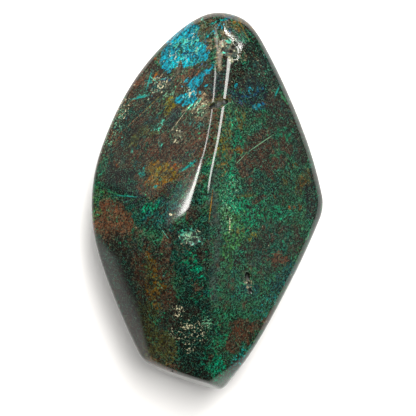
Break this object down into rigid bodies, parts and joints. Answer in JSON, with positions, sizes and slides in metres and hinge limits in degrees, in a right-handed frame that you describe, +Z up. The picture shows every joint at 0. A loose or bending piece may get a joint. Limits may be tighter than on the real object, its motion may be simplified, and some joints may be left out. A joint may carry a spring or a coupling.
{
  "type": "shattuckite freeform",
  "caption": "Polished freeform of blue-green shattuckite in brown matrix: one piece of stone lying on its flat back, broad domed faces meeting in a bent main ridge.",
  "frame": {"origin": "centre of the stone's bounding box in plan, on the plane of the flat back that it rests on", "axes": "+Z up out of the ridged front, away from the flat back; +Y along the length towards the head, where the crest and the second ridge run out; +X across, towards the corner of the right side"},
  "size_m": [0.0564, 0.0914, 0.0362],
  "materials": {
    "stone": "polished"
  },
  "bodies": {
    "root": {"stone": "stone"}
  },
  "joints": []
}
